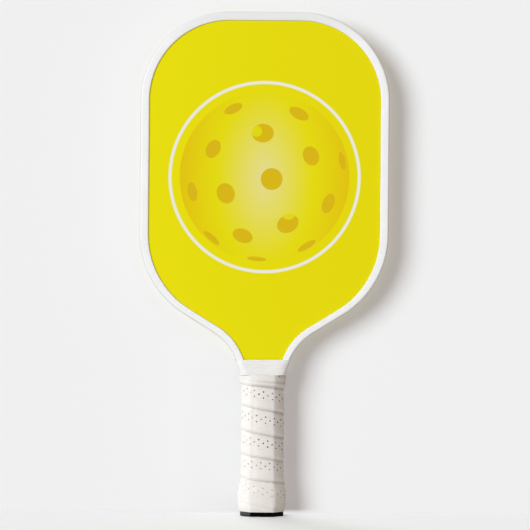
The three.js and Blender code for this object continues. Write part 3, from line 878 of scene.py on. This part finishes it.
def print_shader(name, side):
    """Yellow face with a white ring and a shaded, perforated ball; side is 1 front, -1 back."""
    shader = Shader(name, "ebe106", 0.42, Specular_IOR_Level=0.04)
    x = shader.times(shader.axis("Object", 0), side / BALL_RADIUS)
    height = shader.calc("SUBTRACT", shader.axis("Object", 2), PRINT_CENTRE)
    y = shader.times(height, 1 / BALL_RADIUS)
    radius = shader.length(x, y)
    sharp = BALL_RADIUS / PRINT_SOFTNESS

    def inside(distance, limit):
        """1 where a distance is under a limit, with a soft printed edge."""
        return shader.calc("MULTIPLY_ADD", distance, -sharp, limit * sharp + 0.5, clamp=True)

    ring_gap = shader.calc("ABSOLUTE", shader.calc("SUBTRACT", radius, RING_RADIUS / BALL_RADIUS))
    ring = inside(ring_gap, RING_WIDTH / 2 / BALL_RADIUS)
    ball = inside(radius, 1.0)
    reach = shader.length(shader.times(x, 1 / GLOW[0]), shader.times(y, 1 / GLOW[1]))
    glow = shader.calc("POWER", shader.ramp(reach, 1.0, 0.0), 1.75)
    shade = shader.ramp(reach, 0.98, 1.62)
    holes, seen = printed_holes(shader, x, y)
    colour = shader.mix(glow, "eae008", "ebe298")
    for share, tone in ((shade, "e8c90a"), (holes, "debb14"), (seen, "e7dd0c")):
        colour = shader.mix(share, colour, tone)
    grain = shader.noise(0.35 * MM, detail=2)
    # Painted light: the face's yellow runs a little lighter towards the left of the front and darker
    # towards its right.
    base = shader.mix(shader.ramp(x, -1.3, 1.3), "eee406", "e9dd06")
    base = shader.mix(ball, base, colour)
    base = shader.mix(ring, base, "f0efe6")
    shader.colour(shader.mix(shader.ramp(grain, 0.3, 0.7, 0.0, 0.03), base, "fff86a"))
    shader.rough(shader.ramp(shader.noise(8 * MM, detail=4), 0.3, 0.7, 0.38, 0.5))
    shader.relief((shader.cells(0.9 * MM), 0.012 * MM), (grain, 0.02 * MM))
    return shader.material


def printed_holes(shader, x, y):
    """Share of hole colour on a ball seen along its axis, and the part of it seen through."""
    flat = shader.squares(x, y)
    z = shader.calc("SQRT", shader.calc("SUBTRACT", 1.0, flat, clamp=True))
    normal = shader.add("ShaderNodeCombineXYZ", ((0, x), (1, y), (2, z))).outputs[0]
    holes = spots = 0.0
    for turn, away, size in PRINTED_HOLES:
        turn, away, size = math.radians(turn), math.radians(away), math.radians(size)
        aside = math.sin(away)
        direction = (aside * math.cos(turn), aside * math.sin(turn), math.cos(away))
        inputs = ((0, normal), (1, direction))
        dot = shader.add("ShaderNodeVectorMath", inputs, operation="DOT_PRODUCT").outputs["Value"]
        edge = BALL_RADIUS / PRINT_SOFTNESS / math.sin(size)
        one = shader.calc("MULTIPLY_ADD", dot, edge, 0.5 - edge * math.cos(size), clamp=True)
        holes = shader.calc("MAXIMUM", holes, one)
    holes = shader.times(holes, shader.ramp(flat, 1.0, 0.985))
    for cx, cy, radius in SEEN_THROUGH:
        gap = shader.length(shader.calc("SUBTRACT", x, cx), shader.calc("SUBTRACT", y, cy))
        spot = shader.ramp(gap, radius + SPOT_SOFTNESS, radius - SPOT_SOFTNESS)
        spots = shader.calc("MAXIMUM", spots, spot)
    return holes, shader.times(holes, spots)


# ---- Other materials ----

# Places along X, and heights, between which painted light and shade change: on the guard's tip, on the
# seams' highlight and shade, and in the holes.
TIP_DARKENS = (376 * MM, 394 * MM)
RIDGE_LIGHTENS = (8 * MM, 13 * MM)
SEAM_DARKENS = (-16 * MM, 4 * MM)
HOLES_DARKEN_UPWARDS = (18 * MM, 55 * MM)
HOLES_LIGHTEN_AT_BAND = (111 * MM, 108 * MM)
HOLES_DARKEN_RIGHTWARDS = (-13.5 * MM, 4 * MM)


def guard_shader():
    """White plastic with faint scuffs, and painted shade: greyer where it turns away from the front,
    and a little darker at the tip.
    """
    shader = Shader("guard_white", "f6f6f6", 0.4, Specular_IOR_Level=0.3)
    broad = shader.noise(30 * MM)
    scuff = shader.noise(1.2 * MM, detail=5, roughness=0.7, stretch=(1, 1, 0.25))
    marks = shader.ramp(scuff, 0.66, 0.8)
    colour = shader.mix(shader.ramp(broad, 0.3, 0.7), "fbfbfb", "f7f7f6")
    colour = shader.mix(shader.times(marks, 0.2), colour, "dcdbd8")
    # Painted shade: the plastic is greyer where its surface turns away from the front.
    turned = shader.ramp(shader.calc("ABSOLUTE", shader.axis("Normal", 1)), 0.97, 0.5)
    colour = shader.mix(turned, colour, "dedede")
    # Painted shade: a little darker towards the tip.
    shader.colour(shader.mix(shader.along(2, *TIP_DARKENS), colour, "efefef"))
    shader.rough(shader.ramp(scuff, 0.3, 0.75, 0.34, 0.5))
    shader.relief((shader.noise(0.5 * MM, detail=3), 0.012 * MM), (shader.noise(6 * MM), 0.05 * MM))
    return shader.material


def leather_shader():
    """Synthetic leather: pebble grain, faint tone changes, painted shade at each seam and fold, and a
    painted highlight just above each seam.
    """
    shader = Shader("grip_leather", "efece7", 0.6, Specular_IOR_Level=0.25)
    pebble = shader.cells(0.55 * MM)
    fine = shader.noise(0.25 * MM, detail=4, roughness=0.6)
    mottle = shader.noise(7 * MM, detail=4)
    colour = shader.mix(shader.ramp(mottle, 0.3, 0.7), "f0ebe6", "ebe5df")
    colour = shader.mix(shader.ramp(pebble, 0.0, 0.5, 0.12, 0.0), colour, "d8d2c9")
    pulled = shader.noise(1.1 * MM, detail=3, stretch=(0.14, 0.14, 1))
    colour = shader.mix(shader.ramp(pulled, 0.52, 0.78, 0.0, 0.5), colour, "d9d2c8")
    # Painted highlight on the rounded top of each turn's lower edge, near the right side.
    ridge = shader.times(shader.attribute("ridge"), shader.along(0, *RIDGE_LIGHTENS))
    colour = shader.mix(ridge, colour, "fdfaf6")
    # Painted shade at each seam and at the deepest fold, darker towards the right side.
    dirt = shader.ramp(shader.noise(1.5 * MM, detail=3), 0.25, 0.75, 0.2, 0.5)
    dirt = shader.times(dirt, shader.along(0, *SEAM_DARKENS))
    dirt = shader.times(shader.attribute("seam"), dirt)
    shader.colour(shader.mix(dirt, colour, "9a8f88"))
    shader.rough(shader.ramp(fine, 0.3, 0.7, 0.52, 0.7))
    shader.relief((pebble, 0.055 * MM), (fine, 0.03 * MM), (pulled, 0.14 * MM))
    return shader.material


def hole_shader():
    """The insides of the perforations, as painted shade: dark, paler low down where they are shallower
    and near the band, and paler towards the left, where light falls in.
    """
    shader = Shader("perforation_wall", "5a544e", 0.9, Specular_IOR_Level=0.1)
    fibre = shader.noise(0.2 * MM, detail=4)
    # Painted shade: the holes' insides are dark.
    dark = shader.mix(fibre, "241f1c", "4d463f")
    height = shader.along(2, *HOLES_DARKEN_UPWARDS)
    height = shader.times(height, shader.along(2, *HOLES_LIGHTEN_AT_BAND, 0.3, 1.0))
    dark = shader.mix(height, "c4bcb3", dark)
    # Painted light: paler towards the left, where the light falls into the holes.
    across = shader.along(0, *HOLES_DARKEN_RIGHTWARDS)
    shader.colour(shader.mix(across, "d6cfc7", dark))
    return shader.material


def felt_shader():
    """Matt fibre, for the layer under the leather."""
    shader = Shader("grip_felt_fibre", "d8d2c6", 0.95, Sheen_Weight=0.3)
    fibre = shader.noise(0.2 * MM, detail=6, roughness=0.8)
    shader.colour(shader.mix(fibre, "c4bdb0", "e2dcd0"))
    shader.relief((fibre, 0.1 * MM))
    return shader.material


def tape_shader():
    """Glossy stretch tape, drawn out around the handle."""
    shader = Shader("finishing_tape_white", "f4f3f1", 0.38, Specular_IOR_Level=0.35)
    drawn = shader.noise(0.6 * MM, detail=3, stretch=(0.08, 0.08, 1))
    shader.colour(shader.mix(shader.ramp(drawn, 0.35, 0.65), "f5f4f2", "edebe8"))
    shader.rough(shader.ramp(drawn, 0.3, 0.7, 0.34, 0.46))
    shader.relief((drawn, 0.05 * MM))
    return shader.material


def cap_shader():
    """Black plastic, with a painted sheen: greyer on the faces that turn to the left."""
    shader = Shader("cap_black", "040404", 0.25, Specular_IOR_Level=0.1)
    spark = shader.noise(0.3 * MM, detail=3)
    wear = shader.ramp(shader.noise(3 * MM, detail=5), 0.6, 0.8)
    colour = shader.mix(wear, "020202", "080707")
    # Painted highlight: faces turned to the left are greyer, as a sheen from the light at the left.
    turned = shader.ramp(shader.axis("Normal", 0), -0.45, -0.72)
    shader.colour(shader.mix(turned, colour, "3c3a39"))
    shader.rough(shader.ramp(spark, 0.3, 0.7, 0.2, 0.3))
    shader.relief((spark, 0.02 * MM))
    return shader.material


def plain_shader(name, low, high, roughness, grain, **uniform):
    """A material of two mixed tones with a fine relief, for the parts inside."""
    shader = Shader(name, high, roughness, **uniform)
    spread = shader.noise(grain, detail=4)
    shader.colour(shader.mix(spread, low, high))
    shader.relief((spread, grain / 20))
    return shader.material


def dress_frame():
    """Materials of the CAD parts that stay: the printed films, and the parts inside."""
    fibreglass = plain_shader("fibreglass_weave", "c9cdb8", "dfe2cf", 0.45, 0.8 * MM)
    adhesive = plain_shader("adhesive_film", "d8cfae", "e9e2c4", 0.5, 2 * MM)
    foam = plain_shader("handle_foam", "bdbab0", "d0cdc4", 0.8, 0.4 * MM)
    tape = plain_shader("mounting_tape_gum", "d9d3c4", "ece7da", 0.85, 0.5 * MM)
    steel = plain_shader("staple_steel", "aeb2b6", "c8ccd0", 0.3, 1 * MM, Metallic=1.0)
    core = plain_shader("core_polypropylene", "e6e4da", "f3f2ec", 0.6, 1 * MM)
    inside = {
        "honeycomb_core": core, "edge_guard_tape": tape, "handle_tape": tape,
        "adhesive_film": adhesive, "face_sheet": fibreglass, "pallet_bond": adhesive,
        "handle_pallet": foam, "cap_staple": steel,
        "front_graphic_film": print_shader("front_face_print", 1),
        "back_graphic_film": print_shader("back_face_print", -1),
    }
    for name, node in frame["nodes"].items():
        for key in (name, name.removeprefix("front_").removeprefix("back_")):
            if key in inside:
                paint(node, inside[key])
                break


def paint(obj, *materials):
    """Gives an object its materials, keeping the material index of each face."""
    if "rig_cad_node" in obj:
        for slot in obj.material_slots:
            slot.link = "OBJECT"
            slot.material = materials[0]
        return
    for material in materials:
        obj.data.materials.append(material)


# ---- Stage ----

CAMERA_DISTANCE = 2.0
SIGHT = Vector((0.95 * MM, -FACE_DEPTH, 199.2 * MM))  # what the middle of the picture looks at
PICTURE_WIDTH = 420.2 * MM  # width of the view at the face
CAMERA_ROLL = math.radians(-0.5)
SENSOR_WIDTH = 36
PALE = as_colour("f0f0f0")  # the photo's background
# Light from all around, from straight ahead (0) through the sides (0.5) to straight behind (1).
SURROUND = [
    (0.0, (0.1, 0.1, 0.1, 1)), (0.015, (0.2, 0.19, 0.18, 1)), (0.05, (0.66, 0.61, 0.57, 1)),
    (0.2, (0.46, 0.42, 0.385, 1)), (0.42, (0.2, 0.17, 0.15, 1)),
    (0.52, (0.26, 0.24, 0.22, 1)), (0.75, (0.68, 0.68, 0.67, 1)), (1.0, (0.75, 0.75, 0.75, 1)),
]
# Suns: place, target, power, colour, and spread in degrees.
KEY_SUN = ((-1.5, -1.88, 0.75), (0, 0, 0.2), 2.15, (0.93, 1.0, 1.06), 31)
SIDE_SUN = ((-1.6, 0.08, 0.4), (0, 0, 0.2), 0.81, (0.9, 1, 1.05), 25)
FLOOR_SUN = ((-0.42, 1, 0.74), (0, 0, 0), 1.02, (1, 1, 1), 36)
# The stage's planes: size, colour and glow.
BACKDROP = (3, (0.86, 0.872, 0.852, 1), (0.0697, 0.0585, 0.0772, 1))
FLOOR = (6, (0.92, 0.92, 0.92, 1), (0.132, 0.142, 0.160, 1))
WALL_GAP = 0.4 * MM
FADE_HEIGHT = 3.5 * MM  # the backdrop loses its shadows below this height
# The backdrop is darker left of the handle, to make up for the light that the grip throws on
# it: axis, where this starts and where it is full, and its share.
BESIDE_GRIP = ((0, -68 * MM, -20 * MM), (0, 18 * MM, -8 * MM), (2, 138 * MM, 112 * MM))
BESIDE_SHARE = 0.088
BLACK = (0, 0, 0, 1)


def camera():
    """Looks straight at the front, rolled a little as in the photo."""
    data = bpy.data.cameras.new("camera")
    data.sensor_width = SENSOR_WIDTH
    data.lens = SENSOR_WIDTH * CAMERA_DISTANCE / PICTURE_WIDTH
    data.clip_start, data.clip_end = 0.05, 50
    obj = scene_object("camera", data, SIGHT + Vector((0, -CAMERA_DISTANCE, 0)))
    obj.rotation_euler = (math.pi / 2, CAMERA_ROLL, 0)
    bpy.context.scene.camera = obj


def sun(name, place, target, power, colour, spread, receivers=()):
    """A soft sun, which lights only its receivers where it has any."""
    data = bpy.data.lights.new(name, "SUN")
    data.energy, data.color, data.angle = power, colour, math.radians(spread)
    obj = scene_object(name, data, place)
    obj.rotation_euler = (Vector(target) - Vector(place)).to_track_quat("-Z", "Y").to_euler()
    if receivers:
        lit = bpy.data.collections.new(name + "_receivers")
        for piece in receivers:
            lit.objects.link(piece)
        obj.light_linking.receiver_collection = lit


def stage_shader(name, colour, glow, fade):
    """Matt and pale from the front, clear from behind; a fade makes its lower half one even tone."""
    shader = Shader(name + "_pale", colour, 1.0, Specular_IOR_Level=0.0, Emission_Strength=1.0)
    emission = shader.surface.inputs["Emission Color"]
    emission.default_value = glow
    if fade:
        share = shader.ramp(shader.axis("Generated", 1), 0.5 - fade / 2, 0.5 + fade / 2)
        beside = BESIDE_SHARE
        for place in BESIDE_GRIP:
            beside = shader.times(shader.between(*place), beside)
        matched = shader.mix(beside, colour, BLACK)
        shader.colour(shader.mix(share, BLACK, matched))
        shader.tree.links.new(shader.mix(share, PALE, glow), emission)
    clear = shader.add("ShaderNodeBsdfTransparent")
    back = shader.add("ShaderNodeNewGeometry").outputs["Backfacing"]
    inputs = ((0, back), (1, shader.surface.outputs[0]), (2, clear.outputs[0]))
    mixed = shader.add("ShaderNodeMixShader", inputs)
    shader.tree.links.new(mixed.outputs[0], shader.tree.nodes["Material Output"].inputs[0])
    return shader.material


def stage_plane(name, centre, normal, size, colour, glow, fade=0.0):
    """A pale one-sided surface that takes the shadows and throws no light on the paddle."""
    mesh = bpy.data.meshes.new(name)
    low, high = -size / 2, size / 2
    corners = [(low, low, 0), (high, low, 0), (high, high, 0), (low, high, 0)]
    mesh.from_pydata(corners, [], [(0, 1, 2, 3)])
    obj = scene_object(name, mesh, centre)
    obj.rotation_euler = Vector(normal).to_track_quat("Z", "Y").to_euler()
    mesh.materials.append(stage_shader(name, colour, glow, fade / size))
    obj.visible_shadow = obj.visible_diffuse = obj.visible_glossy = False
    return obj


def world():
    """A surround that lights the pieces, where the camera itself sees one even pale tone."""
    surroundings = bpy.data.worlds.new("studio")
    surroundings.use_nodes = True
    tree = surroundings.node_tree
    surround = tree.nodes["Background"]
    direction = add_node(tree, "ShaderNodeTexCoord").outputs["Generated"]
    ahead = add_node(tree, "ShaderNodeSeparateXYZ", ((0, direction),)).outputs[1]
    inputs = ((0, ahead), (1, 0.5), (2, 0.5))
    share = add_node(tree, "ShaderNodeMath", inputs, operation="MULTIPLY_ADD").outputs[0]
    colour = add_node(tree, "ShaderNodeValToRGB", ((0, share),))
    tree.links.new(colour.outputs[0], surround.inputs["Color"])
    stops = colour.color_ramp
    stops.interpolation = "EASE"
    stops.elements.remove(stops.elements[1])
    for i, (place, shade) in enumerate(SURROUND):
        element = stops.elements[0] if i == 0 else stops.elements.new(place)
        element.position, element.color = place, shade
    backdrop = add_node(tree, "ShaderNodeBackground", (("Color", PALE),))
    seen = add_node(tree, "ShaderNodeLightPath").outputs["Is Camera Ray"]
    inputs = ((0, seen), (1, surround.outputs[0]), (2, backdrop.outputs[0]))
    mixed = add_node(tree, "ShaderNodeMixShader", inputs)
    tree.links.new(mixed.outputs[0], tree.nodes["World Output"].inputs[0])
    bpy.context.scene.world = surroundings


def studio(handle):
    """Floor, backdrop and light; handle lists the pieces that the side sun lights."""
    scene = bpy.context.scene
    scene.view_settings.view_transform = "Standard"
    scene.view_settings.look = "None"
    world()
    sun("key", *KEY_SUN)
    sun("side_fill", *SIDE_SUN, handle)
    floor = stage_plane("floor", (0, 0, 0), (0, 0, 1), *FLOOR)
    sun("floor_fill", *FLOOR_SUN, [floor])
    wall = (0, cad_high.y + WALL_GAP, FADE_HEIGHT / 2)
    stage_plane("backdrop", wall, (0, -1, 0), *BACKDROP, fade=FADE_HEIGHT)


# ---- Assembly ----

camera()
dress_frame()
paint(edge_guard(), guard_shader())
grip_cover, grip_felt = grip()
paint(grip_cover, leather_shader(), hole_shader())
paint(grip_felt, felt_shader())
collar, cap = finishing_tape(), butt_cap()
paint(collar, tape_shader())
paint(cap, cap_shader())
studio([grip_cover, cap])
